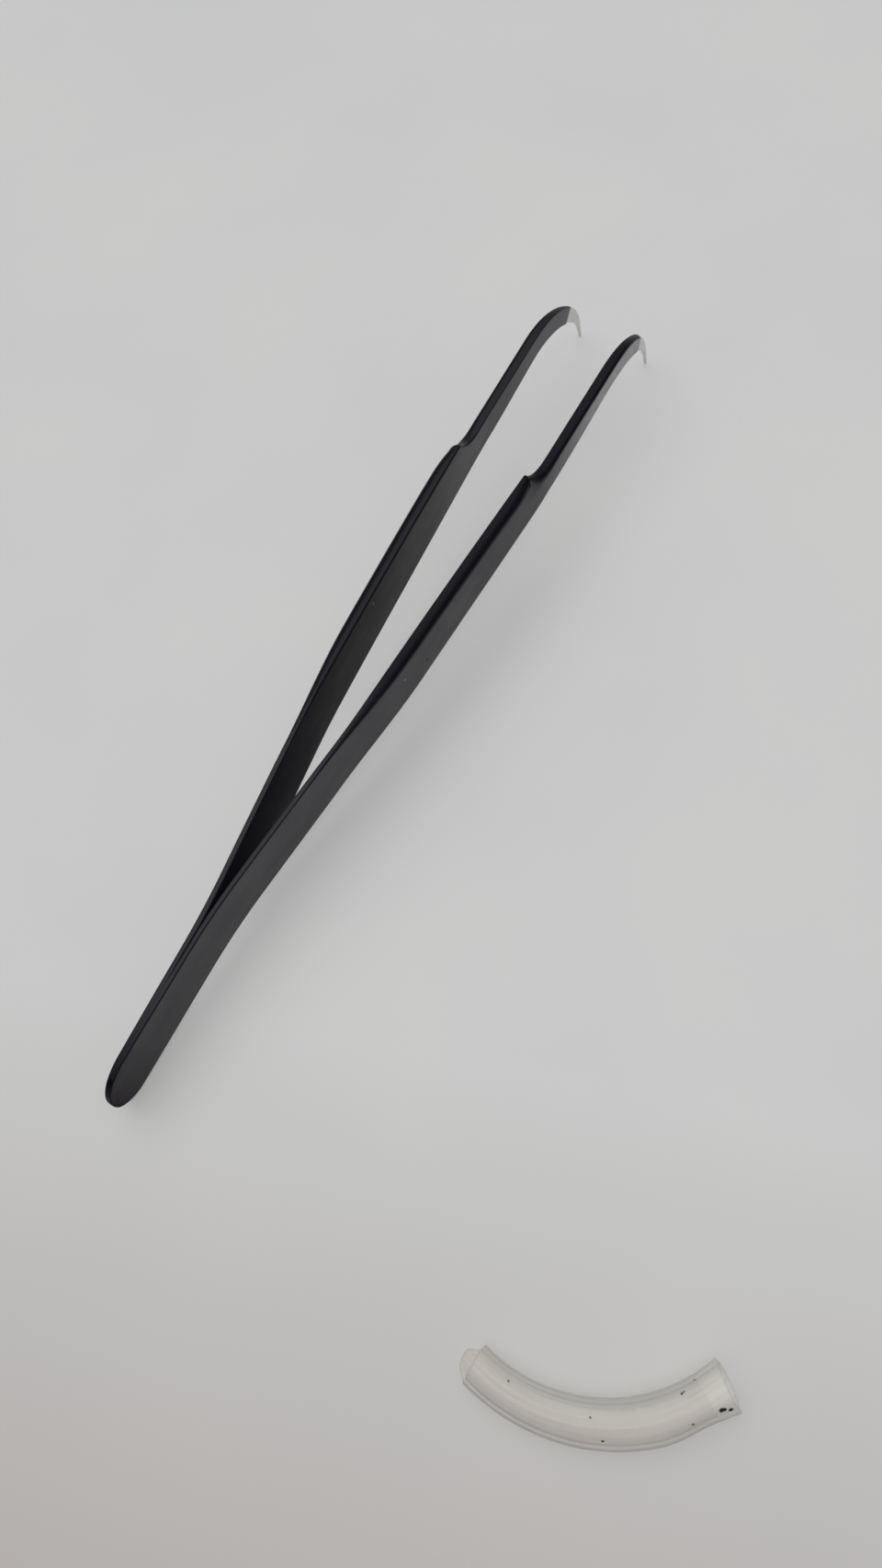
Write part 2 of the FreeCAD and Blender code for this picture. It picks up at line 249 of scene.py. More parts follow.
def top_edge(x):
    """Height of the steel's top edge, up to the bend."""
    if x < TAIL_TOP_RADIUS:
        return NOSE_Z + math.sqrt(TAIL_TOP_RADIUS**2 - (TAIL_TOP_RADIUS - x) ** 2)
    crown_end, neck_end = SHOULDER[0], BEND_TOP[0]
    start = NOSE_Z + TAIL_TOP_RADIUS
    share = (x - TAIL_TOP_RADIUS) / (crown_end - TAIL_TOP_RADIUS)
    bulge = (x - TAIL_TOP_RADIUS) * (crown_end - x) / (2 * CROWN_RADIUS)
    crown = start + (SHOULDER[1] - start) * share + bulge
    if x > NECK_TOP[0]:
        return NECK_TOP[1] + (BEND_TOP[1] - NECK_TOP[1]) * (x - NECK_TOP[0]) / (neck_end - NECK_TOP[0])
    hollow = arc_centre(SHOULDER, NECK_TOP, SHOULDER_HOLLOW)
    reach = x - hollow.x
    if reach <= -SHOULDER_HOLLOW:
        return crown
    step = hollow.y - math.sqrt(SHOULDER_HOLLOW**2 - reach**2)
    return soft_min(crown, step, SHOULDER_SOFTNESS)


def bottom_edge(x):
    """Height of the steel's bottom edge, up to the bend."""
    if x < TAIL_BOTTOM_RADIUS:
        return NOSE_Z - math.sqrt(TAIL_BOTTOM_RADIUS**2 - (TAIL_BOTTOM_RADIUS - x) ** 2)
    return soft_line(x, BOTTOM)


def inner_face(x):
    return soft_line(x, INNER)


def thickness(x):
    """Thickness of the steel; past the bend's start it closes in on the tip."""
    past = max(0.0, min(1.0, (x - BEND_X) / (LENGTH - BEND_X)))
    return soft_line(x, THICKNESS) - (THICKNESS[-1][1] - TIP_THICKNESS) * past**2


def lean(x, z):
    """How far the outer face leans in around the top of the shoulder's end."""
    near_end = max(0.0, min(1.0, (x - LEAN_START) / (LEAN_END - LEAN_START)))
    near_top = max(0.0, min(1.0, (z - LEAN_LOW) / (LEAN_HIGH - LEAN_LOW)))
    return LEAN_DEPTH * near_end**3 * near_top**2 * (3 - 2 * near_top)


def steps(start, end, pitch):
    """Evenly spaced values from start up to, but not including, end."""
    count = max(1, round((end - start) / pitch))
    return [start + (end - start) * k / count for k in range(count)]


def relaxed(points, passes):
    """The points with their small kinks eased; the first and the last stay."""
    for _ in range(passes):
        eased = [(a + 2 * b + c) / 4 for a, b, c in zip(points, points[1:], points[2:])]
        points = [points[0]] + eased + [points[-1]]
    return points


def side_edges():
    """Matching points of the steel's top and bottom edges, as two lists of (x, z)."""
    flat = [TAIL_BOTTOM_RADIUS * (1 - math.cos(math.radians(a))) for a in range(0, 90, NOSE_STEP)]
    for (start, pitch), (end, _) in zip(SECTIONS, SECTIONS[1:]):
        flat += steps(start, end, pitch)
    top = [Vector((x, top_edge(x))) for x in flat]
    bottom = [Vector((x, bottom_edge(x))) for x in flat]
    for share in steps(0, 1, BEND_PITCH):
        top.append(arc_point(BEND_TOP, POINT_TOP, -BEND_OUTER_RADIUS, share))
        bottom.append(arc_point(BEND_BOTTOM, POINT_BOTTOM, -BEND_INNER_RADIUS, share))
    for share in steps(0, 1, POINT_PITCH) + [1]:
        top.append(Vector(POINT_TOP).lerp(Vector(TIP_TOP), share))
        bottom.append(Vector(POINT_BOTTOM).lerp(Vector(TIP_BOTTOM), share))
    eased_from = len(flat) - EASED_SECTIONS
    top[eased_from:] = relaxed(top[eased_from:], EASING_PASSES)
    bottom[eased_from:] = relaxed(bottom[eased_from:], EASING_PASSES)
    return top, bottom


def outward(points, side):
    """Unit normals of an edge, in the side view; side is 1 for the top edge, -1 for the bottom."""
    normals = []
    for before, after in zip(points[:1] + points[:-1], points[1:] + points[-1:]):
        along = (after - before).normalized()
        normals.append(Vector((-along.y, along.x)) * side)
    normals[0] = Vector((-1, 0))
    return normals


# ---- strips ----------------------------------------------------------------------------

CORNER_STEPS = 6
FACE_STEPS = 10
MERGED_WITHIN = 0.0005 * MM


def corner(across, down):
    """Steps through a rounded long edge, from the narrow edge face to the broad face.

    Each is (depth below the narrow face, distance from the broad face, how far through)."""
    quarter = math.pi / 2
    turns = [k / CORNER_STEPS * quarter for k in range(CORNER_STEPS + 1)]
    return [(down * (1 - math.cos(a)), across * (1 - math.sin(a)), a / quarter) for a in turns]


def ring(top, bottom, top_out, bottom_out, skin):
    """One closed section of a strip, as (x, y, z, rim, outer) with y away from the middle plane.

    rim is 1 in the middle of a rounded long edge and 0 on a face; outer is 0 on the inner face,
    a half on the narrow faces and 1 on the outer face."""
    width = (top - bottom).length + 2 * skin
    depth = thickness(top.x) + 2 * skin
    leaned = depth - lean(top.x, top.y)
    outer_size = min(soft_line(top.x, OUTER_ROUNDING), OUTER_SHARE * leaned)
    outer_drop = min(soft_line(top.x, OUTER_DROP), WIDTH_SHARE * width)
    inner_size = min(soft_line(top.x, INNER_ROUNDING), WIDTH_SHARE * width, INNER_SHARE * depth)
    outer = corner(outer_size, outer_drop)
    low_outer = corner(outer_size, min(outer_drop, LOWEST_DROP))
    inner = corner(inner_size, inner_size)

    def spot(edge, normal, sunk, inset, through, is_outer):
        """A point `sunk` below an edge of the side view and `inset` from a broad face."""
        place = edge + normal * (skin - sunk)
        near = max(0.0, inner_face(place.x) - skin)
        far = inner_face(place.x) + thickness(place.x) + skin - lean(place.x, place.y)
        y = far - inset if is_outer else near + inset
        share = (1 + through) / 2 if is_outer else (1 - through) / 2
        return (place.x, y, place.y, 1 - abs(2 * through - 1), share)

    points = [spot(bottom, bottom_out, *step, False) for step in inner]
    points += between(points[-1], spot(top, top_out, *inner[-1], False), False, skin)
    points += [spot(top, top_out, *step, False) for step in reversed(inner)]
    points += [spot(top, top_out, *step, True) for step in outer]
    points += between(points[-1], spot(bottom, bottom_out, *low_outer[-1], True), True, skin)
    points += [spot(bottom, bottom_out, *step, True) for step in reversed(low_outer)]
    return points


def between(start, end, is_outer, skin):
    """Points across a broad face, between two of a section's corners."""
    points = []
    for k in range(1, FACE_STEPS):
        share = k / FACE_STEPS
        x = start[0] + (end[0] - start[0]) * share
        z = start[2] + (end[2] - start[2]) * share
        y = max(0.0, inner_face(x) - skin)
        if is_outer:
            y = inner_face(x) + thickness(x) + skin - lean(x, z)
        points.append((x, y, z, 0.0, float(is_outer)))
    return points


def skinned(rings, name, side):
    """A closed mesh through the sections of a strip, on the left (1) or right (-1)."""
    vertices = [placed(x, y * side, z) for points in rings for x, y, z, _, _ in points]
    count = len(rings[0])
    faces = []
    for i in range(len(rings) - 1):
        for k in range(count):
            a, b = i * count + k, i * count + (k + 1) % count
            faces.append((a, b, b + count, a + count))
    last = (len(rings) - 1) * count
    faces.append(tuple(range(count)))
    faces.append(tuple(last + k for k in reversed(range(count))))
    if side > 0:
        faces = [tuple(reversed(face)) for face in faces]
    mesh = bpy.data.meshes.new(name)
    mesh.from_pydata(vertices, [], faces)
    flat = [point for points in rings for point in points]
    places = [value for x, y, z, _, _ in flat for value in (x, y * side, z)]
    store(mesh, "place", "FLOAT_VECTOR", places)
    store(mesh, "rim", "FLOAT", [point[3] for point in flat])
    store(mesh, "outer", "FLOAT", [point[4] for point in flat])
    finish_mesh(mesh)
    return linked(bpy.data.objects.new(name, mesh))


def store(mesh, name, kind, values):
    """Keeps one value, or one vector, for each point of the mesh."""
    attribute = mesh.attributes.new(name, kind, "POINT")
    attribute.data.foreach_set("value" if kind == "FLOAT" else "vector", values)


def finish_mesh(mesh):
    """Merges points that fall together, turns the faces outward and shades the mesh smooth."""
    work = bmesh.new()
    work.from_mesh(mesh)
    bmesh.ops.remove_doubles(work, verts=work.verts, dist=MERGED_WITHIN)
    bmesh.ops.recalc_face_normals(work, faces=work.faces)
    for face in work.faces:
        face.smooth = True
    work.to_mesh(mesh)
    work.free()
    mesh.update()


def linked(thing):
    bpy.context.scene.collection.objects.link(thing)
    return thing


def even_shading(thing):
    """Keeps broad faces flat in the shading and turns it only in the rounded edges."""
    weights = thing.modifiers.new("even_shading", "WEIGHTED_NORMAL")
    weights.weight = 100  # the largest faces alone decide


def strip_rings(skin, first, last):
    """Sections of a strip, grown by a skin, from the first to just before the last."""
    top, bottom = side_edges()
    top_out, bottom_out = outward(top, 1), outward(bottom, -1)
    return [ring(top[i], bottom[i], top_out[i], bottom_out[i], skin) for i in range(first, last)]


def coat_end():
    """The last section that the coating covers."""
    top, _ = side_edges()
    centre = arc_centre(BEND_TOP, POINT_TOP, -BEND_OUTER_RADIUS)
    for index, point in enumerate(top):
        turned = math.degrees(math.atan2(point.x - centre.x, point.y - centre.y))
        if point.x > BEND_X and turned > 90 - BARE_ANGLE:
            return index
    return len(top) - 1


def flexing(thing):
    """Keeps the piece's broad faces flat in the shading and bakes its placement into its mesh."""
    even_shading(thing)
    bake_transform(thing)


def steel_strip(name, side, nodes):
    """The whole strip of steel: the coating hides it except at the point."""
    top, _ = side_edges()
    rings = strip_rings(0.0, 0, len(top))
    tip = rings[-1]
    middle_x = sum(point[0] for point in tip) / len(tip)
    middle_y = sum(point[1] for point in tip) / len(tip)
    for past, kept in POINT_CLOSING:
        closing = []
        for x, y, z, rim, outer in tip:
            x = middle_x + (x - middle_x) * kept
            y = middle_y + (y - middle_y) * kept
            closing.append((x, y, z - past, rim, outer))
        rings.append(closing)
    strip = skinned(rings, name, side)
    strip.data.materials.append(STEEL)
    flexing(strip)
    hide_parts(*nodes)


def coating(name, side, nodes):
    """The black skin of a strip, with a ragged and feathered end before the point."""
    last = coat_end()
    rings = strip_rings(COAT, 0, last)
    for skin in COAT_FEATHER:
        rings += strip_rings(skin, last, last + 1)
    for depth, points in enumerate(rings[-RAGGED_SECTIONS:], 1):
        reach = RAGGED_REACH * depth / RAGGED_SECTIONS
        for k, (x, y, z, rim, outer) in enumerate(points):
            grain = Vector((y * RAGGED_GRAIN, z * RAGGED_GRAIN, side * RAGGED_SEED))
            shift = reach * noise.noise(grain)
            points[k] = (x + shift, y, z - shift / 2, rim, outer)
    skin_piece = skinned(rings, name, side)
    skin_piece.data.materials.append(COATING)
    flexing(skin_piece)
    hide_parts(*nodes)


# ---- materials -------------------------------------------------------------------------

class Nodes:
    """Short names for building the node tree of a material or of the world."""

    def __init__(self, owner):
        self.owner = owner
        self.owner.use_nodes = True
        self.tree = owner.node_tree

    def add(self, kind, inputs=None, **settings):
        """A node with its settings and inputs; an input is a value or another node's output."""
        node = self.tree.nodes.new(kind)
        for key, value in settings.items():
            setattr(node, key, value)
        self.set(node, inputs or {})
        return node

    def set(self, node, inputs):
        """Gives a node its inputs, each a value or another node's output."""
        for key, value in inputs.items():
            if isinstance(value, bpy.types.NodeSocket):
                self.tree.links.new(value, node.inputs[key])
            else:
                node.inputs[key].default_value = value

    def attribute(self, name, output="Vector"):
        return self.add("ShaderNodeAttribute", attribute_name=name).outputs[output]

    def split(self, vector):
        """The three parts of a vector."""
        return self.add("ShaderNodeSeparateXYZ", {0: vector}).outputs[:]

    def stretched(self, vector, scale):
        return self.add("ShaderNodeVectorMath", {0: vector, 1: scale}, operation="MULTIPLY").outputs[0]

    def noise(self, vector, scale, detail=3.0):
        values = {"Vector": vector, "Scale": scale, "Detail": detail, "Roughness": NOISE_ROUGHNESS}
        return self.add("ShaderNodeTexNoise", values).outputs["Fac"]

    def remap(self, value, low, high, new_low=0.0, new_high=1.0):
        """The value's stretch from low to high becomes new_low to new_high, and stays within them."""
        values = {0: value, 1: low, 2: high, 3: new_low, 4: new_high}
        return self.add("ShaderNodeMapRange", values, clamp=True).outputs[0]

    def band(self, value, rise, fall):
        """A mask that rises over one stretch of the value and falls again over another."""
        return self.times(self.remap(value, *rise), self.remap(value, *fall, 1.0, 0.0))

    def near(self, value, centre, inner, outer, peak):
        """A mask around one value: at its peak up to `inner` away from it, gone at `outer`."""
        apart = self.math("ABSOLUTE", self.math("SUBTRACT", value, centre), 0)
        return self.remap(apart, inner, outer, peak, 0.0)

    def math(self, operation, a, b):
        return self.add("ShaderNodeMath", {0: a, 1: b}, operation=operation).outputs[0]

    def times(self, first, *others):
        """The product of all the values."""
        for other in others:
            first = self.math("MULTIPLY", first, other)
        return first

    def mix(self, share, a, b):
        """Colour a, with this share of colour b."""
        node = self.add("ShaderNodeMix", {0: share}, data_type="RGBA")
        self.set(node, {6: a, 7: b})
        return node.outputs[2]

    def spots(self, vector, places):
        """A mask of round marks, each (x, y, z, radius) in the attribute's own units."""
        mask = 0.0
        for x, y, z, radius in places:
            apart = self.add("ShaderNodeVectorMath", {0: vector, 1: (x, y, z)}, operation="DISTANCE")
            mark = self.remap(apart.outputs["Value"], radius * SPOT_CORE, radius, 1.0, 0.0)
            mask = self.math("MAXIMUM", mask, mark)
        return mask

    def bump(self, height, distance, strength, normal=None):
        values = {"Height": height, "Distance": distance, "Strength": strength}
        if normal is not None:
            values["Normal"] = normal
        return self.add("ShaderNodeBump", values).outputs[0]

    def finish(self, shader, inputs):
        """Gives the tree's own shader its inputs, and returns what the tree belongs to."""
        self.set(self.tree.nodes[shader], inputs)
        return self.owner


NOISE_ROUGHNESS = 0.55
SPOT_CORE = 0.6  # share of a mark's radius that is fully covered
MIDDLE = (0.3, 0.7)  # the stretch of a noise where most of its values lie


def grey(level):
    return (level, level, level, 1)


# marks on the coating: (x, y, z, radius), y being positive on the left strip
SCUFF = (109.5, -6.3, -3.4, 0.5)
LIGHT_SPECKS = [(67.0, 3.45, 2.2, 0.2), (60.7, -4.7, 1.0, 0.22)]
DARK_NICKS = [(64.7, -4.95, -1.55, 0.3), (72.0, -5.3, 2.0, 0.2)]

# colours of the coating
STREAK_DARK = (0.0050, 0.0052, 0.0090, 1)
STREAK_LIGHT = (0.0074, 0.0074, 0.0120, 1)
WORN_EDGE = (0.12, 0.12, 0.125, 1)
# painted sheen: the narrow faces lighter past the nose, most on the left strip
NARROW_FACE_SHEEN = (0.034, 0.033, 0.038, 1)
# painted reflection: a pinker tint on the outer faces
OUTER_FACE_REFLECTION_TINT = (0.0108, 0.0056, 0.0130, 1)
# painted light on the inner faces near the crotch
CROTCH_FILL_LIGHT = (0.036, 0.030, 0.042, 1)
# painted shade on the rounded edges
ROUNDED_EDGE_SHADE = (0.0025, 0.0028, 0.0045, 1)
# painted shade on the nose
NOSE_SHADE = (0.002, 0.002, 0.0022, 1)
LIGHT_SPECK = (0.26, 0.27, 0.24, 1)
COATING_SHEEN = (0.99, 0.91, 1.0, 1)

# stretches along a strip over which something changes, in millimetres from the tail end
NOSE_TO_EDGE = (3.3, 3.7)
TAIL_END = (0.0, 14.0)
TAIL_EDGE = (5.0, 14.0)
TAIL_TO_GRIP = (5.0, 80.0)
# painted light lifts the inner faces here, most at its start
NEAR_CROTCH = (36.0, 66.0)
SPRING_TO_GRIP = (44.0, 60.0)
EARLY_GRIP = (40.0, 60.0)
EDGE_OPENS = (48.0, 64.0)
WHOLE_GRIP = (42.0, 92.0)
LATER_GRIP = (45.0, 92.0)
GRIP_TO_BLADE = (90.0, 94.0)
WHOLE_BLADE = (92.0, 115.0)
RUBBED_BLADE = (91.0, 106.0)

# stretches across a strip: 0 is the inner face, a half the narrow faces and 1 the outer face
INNER_FACES = (0.0, 0.2)
NARROW_FACES = ((0.4, 0.5), (0.5, 0.6))
GRIP_EDGES = ((0.56, 0.68), (0.78, 0.9))
BLADE_EDGES = ((0.7, 0.8), (0.84, 0.96))
OUTER_FACES = (0.6, 0.9)
RUBBED_FACES = (0.8, 0.95)


def coating_places(n):
    """Masks, from 0 to 1, of the stretches and faces of a strip that look different."""
    place = n.attribute("place")
    outer = n.attribute("outer", "Fac")
    along, left, _ = n.split(place)
    narrow = n.band(outer, *NARROW_FACES)
    blade_edge = n.times(n.band(outer, *BLADE_EDGES), n.remap(along, *GRIP_TO_BLADE))
    edges = n.math("MAXIMUM", n.band(outer, *GRIP_EDGES), blade_edge)
    return SimpleNamespace(
        place=place,
        outer=outer,
        along=along,
        left=left,
        narrow=narrow,
        inside=n.remap(outer, *INNER_FACES, 1.0, 0.0),
        nose=n.times(narrow, n.remap(along, *NOSE_TO_EDGE, 0.85, 0.0)),
        rounded=n.times(edges, n.remap(along, *EDGE_OPENS, 0.0, 0.7)),
        nicks=n.spots(place, DARK_NICKS),
        rubbed=rubbed_faces(n, place, along, outer),
    )


def rubbed_faces(n, place, along, outer):
    """Where bare steel shines through: more and more toward the points, and at one scuff."""
    rubbed = n.remap(along, *RUBBED_BLADE, 0.05, 0.85)
    patches = n.remap(n.noise(place, 1.7, 4.0), 0.3, 0.6, 0.7, 0.95)
    rubbed = n.times(rubbed, patches, n.remap(outer, *RUBBED_FACES))
    return n.math("MAXIMUM", rubbed, n.spots(place, [SCUFF]))


def coating_colour(n, at, streaks):
    """Blue black with faint streaks: lighter where it is worn or rubbed, darker at the nicks. Painted
    sheen lightens the narrow faces, painted light the inner faces near the crotch and a painted
    reflection tints the outer faces; painted shade darkens the rounded edges and the nose."""
    colour = n.mix(n.remap(streaks, *MIDDLE), STREAK_DARK, STREAK_LIGHT)
    rim = n.attribute("rim", "Fac")
    worn_patches = n.remap(n.noise(at.place, 2.2, 4.0), 0.62, 0.78)
    colour = n.mix(n.times(n.remap(rim, 0.75, 1.0), worn_patches, 0.35), colour, WORN_EDGE)
    # painted sheen on the narrow faces: lighter past the nose, fading along the grip except on the
    # left strip
    past_nose = n.remap(at.along, *NOSE_TO_EDGE, 0.0, 0.35)
    narrow_sheen = n.math("ADD", past_nose, n.remap(at.along, *TAIL_EDGE, 0.0, 0.65))
    left_sheen = n.remap(at.left, -1.0, 1.0, 0.0, 0.38)
    fading = n.math("MAXIMUM", n.remap(at.along, *SPRING_TO_GRIP, 1.0, 0.1), left_sheen)
    colour = n.mix(n.times(at.narrow, n.times(narrow_sheen, fading)), colour, NARROW_FACE_SHEEN)
    # painted reflection: the outer faces tinted pinker
    colour = n.mix(n.remap(at.outer, *OUTER_FACES, 0.0, 0.8), colour, OUTER_FACE_REFLECTION_TINT)
    # painted light lifting the inner faces near the crotch, fading toward the grip
    crotch_fill = n.times(at.inside, n.remap(at.along, *NEAR_CROTCH, 0.8, 0.0))
    colour = n.mix(crotch_fill, colour, CROTCH_FILL_LIGHT)
    # painted shade on the rounded edges of the grip and blade
    colour = n.mix(at.rounded, colour, ROUNDED_EDGE_SHADE)
    # painted shade on the nose's narrow face
    colour = n.mix(at.nose, colour, NOSE_SHADE)
    colour = n.mix(n.spots(at.place, LIGHT_SPECKS), colour, LIGHT_SPECK)
    colour = n.mix(at.nicks, colour, grey(0.002))
    return n.mix(at.rubbed, colour, grey(0.50))


def coating_shine(n, at):
    """How strongly the coating reflects: least on the nose, the rounded edges and the nicks."""
    by_length = n.remap(at.along, *TAIL_TO_GRIP, 0.18, 0.54)
    outer_shine = n.math("MINIMUM", by_length, n.remap(at.along, *TAIL_END, 0.0, 0.3))
    toward_point = n.remap(at.along, *WHOLE_BLADE, 0.0, 0.3)
    inner_shine = n.math("ADD", n.remap(at.along, *LATER_GRIP, 0.16, 0.7), toward_point)
    shine = n.mix(at.inside, outer_shine, inner_shine)
    right_strip = n.remap(at.left, -1.5, -0.5, 1.0, 0.0)
    right_top = n.times(at.narrow, right_strip, n.remap(at.along, *EARLY_GRIP, 0.0, 0.4))
    shine = n.mix(right_top, shine, grey(0.12))
    shine = n.mix(at.rounded, shine, grey(0.08))
    shine = n.mix(at.nose, shine, grey(0.05))
    return n.mix(at.nicks, shine, grey(0.02))


def black_coating():
    """Satin black coating with a fine grain, faint lengthwise streaks and cloudy smears."""
    n = Nodes(bpy.data.materials.new("satin_black_coating"))
    at = coating_places(n)
    grain = n.noise(at.place, 14.0, 2.0)
    streaks = n.noise(n.stretched(at.place, (0.25, 6.0, 6.0)), 1.6)
    smears = n.noise(n.stretched(at.place, (0.12, 0.5, 0.35)), 1.0, 2.0)
    dull_inside = n.times(at.inside, n.remap(at.along, *WHOLE_GRIP, 1.0, 0.0), 0.3)
    fine_bumps = n.bump(grain, 0.003 * MM, 0.6)
    return n.finish("Principled BSDF", {
        "Base Color": coating_colour(n, at, streaks),
        "Metallic": n.times(at.rubbed, 0.8),
        "Roughness": n.math("ADD", n.remap(smears, *MIDDLE, 0.36, 0.44), dull_inside),
        "Normal": n.bump(streaks, 0.004 * MM, 0.5, fine_bumps),
        "IOR": 1.5,
        "Specular IOR Level": coating_shine(n, at),
        "Specular Tint": COATING_SHEEN,
    })


STEEL_DARK = (0.60, 0.59, 0.565, 1)
STEEL_LIGHT = (0.72, 0.71, 0.69, 1)


def polished_steel():
    """Bright ground steel with fine scratches around the point."""
    n = Nodes(bpy.data.materials.new("polished_steel"))
    place = n.attribute("place")
    scratches = n.noise(n.stretched(place, (2.0, 9.0, 30.0)), 1.0)
    clouds = n.noise(place, 0.8, 2.0)
    return n.finish("Principled BSDF", {
        "Base Color": n.mix(n.remap(clouds, *MIDDLE), STEEL_DARK, STEEL_LIGHT),
        "Metallic": 1.0,
        "Roughness": n.remap(scratches, *MIDDLE, 0.28, 0.42),
        "Normal": n.bump(scratches, 0.004 * MM, 0.6),
    })


STEEL = polished_steel()
COATING = black_coating()

# ---- tip guard -------------------------------------------------------------------------

# the tube, bent along an arc: sizes in millimetres, angles in degrees
GUARD_BEND = 21.2
GUARD_RADIUS = 2.5
GUARD_WALL = 0.5
GUARD_HEADING = 168.5
GUARD_TURN = 80.5
GUARD_LENGTH = GUARD_BEND * math.radians(GUARD_TURN)
TUBE_SIDES = 64
TUBE_STEPS = 90

# its pinched end: wider than tall over the first quarter, with a lip underneath
PINCHED_RADIUS = 2.15
PINCH_PART = 1 / 4
PINCH_WIDER = 0.05
PINCH_FLATTER = 0.16
LIP_ANGLE = 276.0
LIP_LENGTH = 1.25
LIP_REACH = (29.0, 50.0)
PINCHED_SLANT = 0.65
SLANT_TURN = 0.09
RAGGED_CUT = 0.15
RAGGED_CUT_SEED = 3

# its open end: a crease around it, and a dent outside the bend before a flared edge
OPEN_RADIUS = 2.68
CREASE_FROM_END = 3.2
CREASE_DEPTH, CREASE_WIDTH = 0.05, 0.16
DENT_FROM_END = 4.6
DENT_DEPTH, DENT_WIDTH = 0.38, 2.6
FLARE, FLARE_REACH = 0.22, 2.0
OPEN_SLANT = 0.55
OPEN_TOP_SLANT = 0.3

# the slanted cuts work on this part of the tube, at each end
CUT_PART = 1 / 8
# the cut edges are rounded: (how far they stand out, share of the wall)
ROUNDED_CUT = [(0.03, 0.24), (0.06, 0.5), (0.03, 0.76)]

# places on the tube: (millimetres from the pinched end, degrees around times this, depth)
AROUND_SCALE = 0.05
GLEAM_AROUND = 2.1
COLLAR_EDGE = 0.2
# dirt specks, each a place and a radius
GUARD_DIRT = [
    (27.3, 3.1, 0.0, 0.38),
    (27.55, 3.0, 0.0, 0.3),
    (28.05, 2.6, 0.0, 0.31),
    (24.4, 6.7, 0.0, 0.2),
    (24.7, 6.8, 0.0, 0.15),
    (26.4, 7.6, 0.0, 0.18),
    (24.2, 3.1, 0.0, 0.17),
    (15.2, 3.1, 0.0, 0.2),
    (13.9, 5.6, 0.0, 0.16),
    (4.3, 6.2, 0.0, 0.18),
]

# colours of the tube
VINYL_DEEP = (0.66, 0.66, 0.60, 1)
VINYL_PALE = (0.74, 0.74, 0.68, 1)
# warm tone: painted shade outside the bend, also laid toward the pinched end
VINYL_WARM = (0.64, 0.585, 0.54, 1)
VINYL_COLLAR = (0.82, 0.82, 0.75, 1)
VINYL_LINE = (0.47, 0.45, 0.41, 1)
VINYL_SHADE = (0.40, 0.365, 0.335, 1)
VINYL_GLEAM = (0.84, 0.81, 0.77, 1)
VINYL_RIM = (0.42, 0.415, 0.375, 1)
VINYL_CUT = (0.80, 0.79, 0.71, 1)
DIRT = (0.03, 0.028, 0.025, 1)


def vinyl_colour(n, parts, clouds, lines, rim):
    """Cloudy and milky, warmer toward the pinched end, with a pale collar; the warmer tone outside the
    bend and a darker band along that side are painted shade, and a pale streak along it is a painted
    gleam.
    """
    along, around, sunk = parts
    crease = GUARD_LENGTH - CREASE_FROM_END
    collar = n.remap(along, crease, crease + COLLAR_EDGE)
    # painted shade: a warmer tone outside the bend
    painted_shade_outside = n.remap(around, 2.6, 7.5, 1.0, 0.15)
    warm = n.math("MAXIMUM", painted_shade_outside, n.remap(along, 0.0, 7.0, 0.8, 0.0))
    shade = n.times(n.remap(around, 1.8, 4.4, 1.0, 0.0), n.remap(along, 4.0, 17.0, 0.6, 0.15))
    colour = n.mix(n.remap(clouds, *MIDDLE), VINYL_DEEP, VINYL_PALE)
    colour = n.mix(warm, colour, VINYL_WARM)
    colour = n.mix(n.times(collar, 0.38), colour, VINYL_COLLAR)
    colour = n.mix(n.remap(lines, 0.46, 0.64, 0.0, 0.45), colour, VINYL_LINE)
    colour = n.mix(shade, colour, VINYL_SHADE)
    colour = n.mix(n.near(around, GLEAM_AROUND, 0.15, 0.45, 0.7), colour, VINYL_GLEAM)
    colour = n.mix(n.times(rim, 0.4), colour, VINYL_RIM)
    return n.mix(n.near(sunk, GUARD_WALL / 2, 0.14, 0.24, 0.8), colour, VINYL_CUT)


def milky_vinyl():
    """Milky clear soft vinyl, streaked along its length, denser at its rims, with dirt specks."""
    n = Nodes(bpy.data.materials.new("milky_vinyl"))
    place = n.attribute("place")
    clouds = n.noise(n.stretched(place, (0.25, 1.0, 1.0)), 0.5, 2.0)
    streaks = n.noise(n.stretched(place, (0.05, 0.9, 0.9)), 1.0, 1.5)
    lines = n.noise(n.stretched(place, (0.03, 1.9, 0.4)), 1.0, 2.0)
    facing = n.add("ShaderNodeLayerWeight", {"Blend": 0.35}).outputs["Facing"]
    rim = n.remap(facing, 0.35, 1.0)
    dirt = n.spots(place, GUARD_DIRT)
    opacity = n.math("ADD", n.remap(streaks, *MIDDLE, 0.34, 0.5), n.times(rim, 0.2))
    return n.finish("Principled BSDF", {
        "Base Color": n.mix(dirt, vinyl_colour(n, n.split(place), clouds, lines, rim), DIRT),
        "Roughness": n.remap(clouds, *MIDDLE, 0.26, 0.38),
        "Alpha": n.math("MAXIMUM", opacity, dirt),
        "IOR": 1.5,
        "Normal": n.bump(streaks, 0.05 * MM, 0.5),
    })


def guard_radius(along):
    """Outside radius of the tube, this share of the way from its pinched end to its open end."""
    return (
        PINCHED_RADIUS * (1 - along) * (1 - 2 * along)
        + 4 * GUARD_RADIUS * along * (1 - along)
        + OPEN_RADIUS * along * (2 * along - 1)
    )


